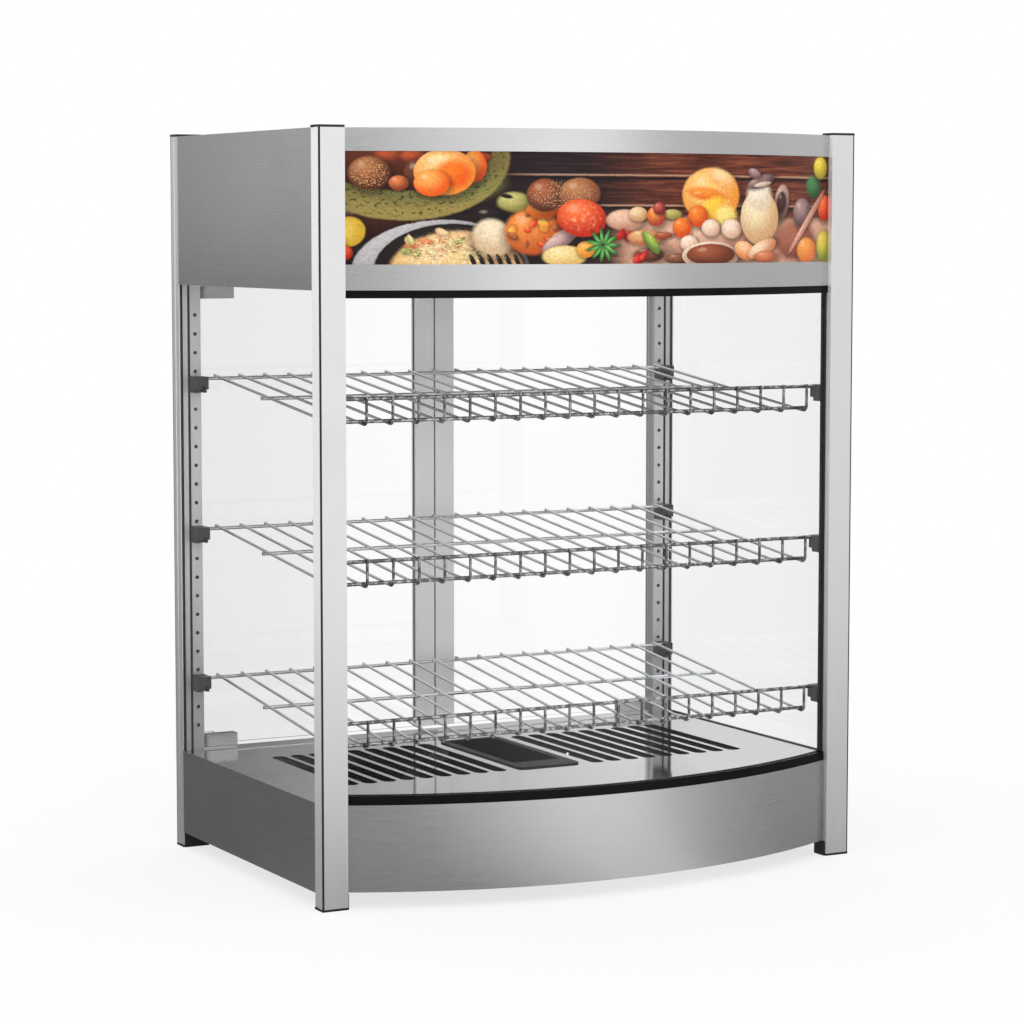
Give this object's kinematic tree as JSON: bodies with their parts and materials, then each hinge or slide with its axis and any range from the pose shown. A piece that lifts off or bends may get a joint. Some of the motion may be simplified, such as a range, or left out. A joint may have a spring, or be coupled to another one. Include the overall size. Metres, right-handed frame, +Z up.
{
  "type": "hot food display case",
  "caption": "Countertop heated food display case with a bowed glass front, lit picture header, lift-out wire shelves, a slotted heating deck with a water pan, and hinged glass rear doors.",
  "frame": {"origin": "middle of the overall footprint, on the surface the feet stand on", "axes": "+X to the case's left-to-right as its front is faced, +Y from the curved front to the rear doors, +Z up"},
  "size_m": [0.643, 0.4786, 0.8],
  "materials": {
    "post": "satin anodised",
    "black_plastic": "moulded",
    "trim": "matt",
    "front_steel": "brushed along X",
    "side_steel": "brushed along Y, darkened",
    "header_steel": "brushed along Y",
    "inner_sheet": "mill finish",
    "deck": "polished",
    "pan": "dark hard coat",
    "heater": "heat stained sheath",
    "copper": "drawn tube",
    "control_black": "moulded",
    "rocker_red": "moulded",
    "lamp_amber": "clear moulded",
    "display": "smoked",
    "terminal": "moulded",
    "wire_cover": "silicone",
    "glass": "clear toughened",
    "picture": "backlit sheet",
    "diffuser": "opal",
    "lamp": "opal tube",
    "white_plastic": "moulded",
    "door_aluminium": "satin anodised",
    "clamp_metal": "satin",
    "wire": "plated",
    "shaft_metal": "turned"
  },
  "bodies": {
    "case": {"post_front_left": "post", "post_front_right": "post", "post_rear_left": "post", "post_rear_right": "post", "post_caps": "black_plastic", "foot_pads": "black_plastic", "rubber_strips": "trim", "base_side_left": "side_steel", "base_side_right": "side_steel", "base_front_panel": "front_steel", "base_rear_panel": "header_steel", "base_bottom_plate": "inner_sheet", "deck_plate": "deck", "heater_left": "heater", "heater_right": "heater", "heater_brackets": "inner_sheet", "heat_shield": "inner_sheet", "thermostat_body": "control_black", "thermostat_bulb": "copper", "switch_housings": "control_black", "indicator_lamp": "lamp_amber", "display_housing": "control_black", "display_window": "display", "cord_gland": "black_plastic", "terminal_block": "terminal", "wiring": "wire_cover", "lower_glass_channel": "black_plastic", "upper_glass_channel": "black_plastic", "front_glass": "glass", "side_glass_left": "glass", "side_glass_right": "glass", "header_side_left": "header_steel", "header_side_right": "header_steel", "header_top_panel": "header_steel", "header_rear_panel": "header_steel", "header_floor": "inner_sheet", "fascia_upper_rail": "front_steel", "fascia_lower_rail": "front_steel", "picture_panel": "picture", "light_diffuser": "diffuser", "lamp_tube": "lamp", "lamp_holders": "white_plastic", "lamp_driver": "white_plastic", "hinge_pins": "shaft_metal", "hinge_plates": "clamp_metal", "shelf_clips": "black_plastic"},
    "door_left": {"door_glass_left": "glass", "door_stile_left": "door_aluminium", "hinge_clamps_left": "clamp_metal"},
    "door_right": {"door_glass_right": "glass", "door_stile_right": "door_aluminium", "hinge_clamps_right": "clamp_metal"},
    "knob": {"thermostat_knob": "control_black", "thermostat_shaft": "shaft_metal"},
    "heat_rocker": {"heat_rocker": "rocker_red"},
    "light_rocker": {"light_rocker": "control_black"},
    "pan": {"water_pan": "pan"},
    "shelf_top": {"shelf_top": "wire"},
    "shelf_middle": {"shelf_middle": "wire"},
    "shelf_bottom": {"shelf_bottom": "wire"}
  },
  "joints": [
    {"name": "door_left_hinge", "type": "hinge", "parent": "case", "child": "door_left", "pos_m": [-0.2837, 0.22025, 0.3715], "axis": [0, 0, 1], "range_deg": [0, 100]},
    {"name": "door_right_hinge", "type": "hinge", "parent": "case", "child": "door_right", "pos_m": [0.2837, 0.22025, 0.3715], "axis": [0, 0, -1], "range_deg": [0, 100]},
    {"name": "knob_turn", "type": "hinge", "parent": "case", "child": "knob", "pos_m": [-0.19, 0.22725, 0.062], "axis": [0, -1, 0], "range_deg": [0, 270]},
    {"name": "heat_rocker_tilt", "type": "hinge", "parent": "case", "child": "heat_rocker", "pos_m": [-0.12, 0.22325, 0.062], "axis": [-1, 0, 0], "range_deg": [0, 16]},
    {"name": "light_rocker_tilt", "type": "hinge", "parent": "case", "child": "light_rocker", "pos_m": [-0.08, 0.22325, 0.062], "axis": [-1, 0, 0], "range_deg": [0, 16]},
    {"name": "pan_lift", "type": "slide", "parent": "case", "child": "pan", "axis": [0, 0, 1], "range_m": [0, 0.03]},
    {"name": "shelf_top_lift", "type": "slide", "parent": "case", "child": "shelf_top", "axis": [0, 0, 1], "range_m": [0, 0.025]},
    {"name": "shelf_middle_lift", "type": "slide", "parent": "case", "child": "shelf_middle", "axis": [0, 0, 1], "range_m": [0, 0.025]},
    {"name": "shelf_bottom_lift", "type": "slide", "parent": "case", "child": "shelf_bottom", "axis": [0, 0, 1], "range_m": [0, 0.025]}
  ]
}
